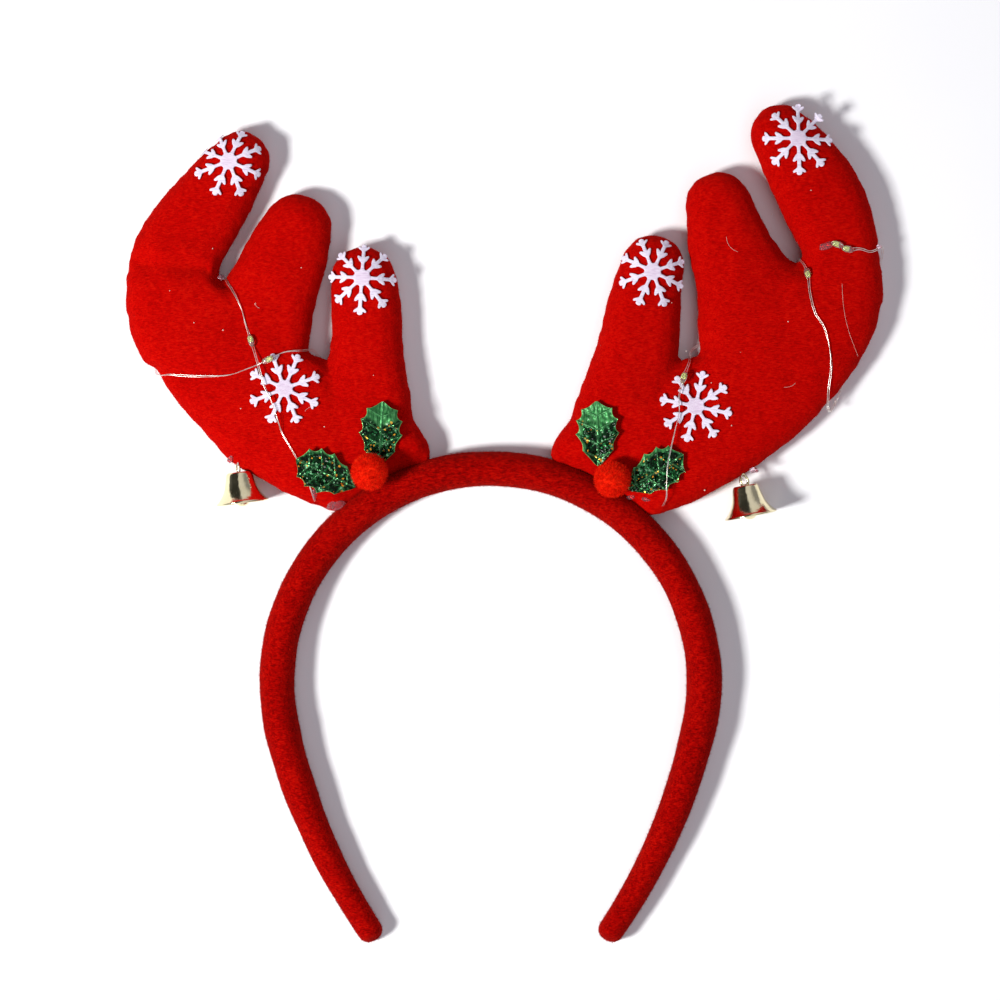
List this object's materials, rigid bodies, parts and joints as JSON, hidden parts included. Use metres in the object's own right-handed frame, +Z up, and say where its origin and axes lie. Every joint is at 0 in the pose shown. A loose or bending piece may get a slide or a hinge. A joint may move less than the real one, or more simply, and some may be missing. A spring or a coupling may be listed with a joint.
{
  "type": "reindeer antler headband",
  "caption": "Padded red horseshoe headband with two stuffed felt antlers, felt snowflakes, foil holly, pompom berries, light strings and small bells, lying on its back.",
  "frame": {"origin": "bottom centre of the object's box, on the surface it lies on", "axes": "+X to the right of the picture, +Y along the antlers, away from the band's open ends, +Z up from the table, the way the decorated face looks"},
  "size_m": [0.24, 0.2658, 0.0245],
  "materials": {
    "plush_red": "brushed red plush",
    "felt_red": "matte red felt",
    "felt_white": "matte white felt",
    "foil_green": "embossed green foil on cloth",
    "tuft_red": "matted red fibre",
    "bell_gold": "pale gold plating",
    "wire_silver": "enamelled fine wire with resin drops",
    "thread_clear": "fine clear thread"
  },
  "bodies": {
    "root": {"headband": "plush_red", "antler_left": "felt_red", "antler_right": "felt_red", "snowflake_left_1": "felt_white", "snowflake_left_2": "felt_white", "snowflake_left_3": "felt_white", "snowflake_right_1": "felt_white", "snowflake_right_2": "felt_white", "snowflake_right_3": "felt_white", "holly_leaf_left_1": "foil_green", "holly_leaf_left_2": "foil_green", "holly_leaf_right_1": "foil_green", "holly_leaf_right_2": "foil_green", "berry_left": "tuft_red", "berry_right": "tuft_red", "bell_left": "bell_gold", "bell_right": "bell_gold", "clapper_left": "bell_gold", "clapper_right": "bell_gold", "bell_thread_left": "thread_clear", "bell_thread_right": "thread_clear", "light_string_left": "wire_silver", "light_string_right": "wire_silver"}
  },
  "joints": []
}
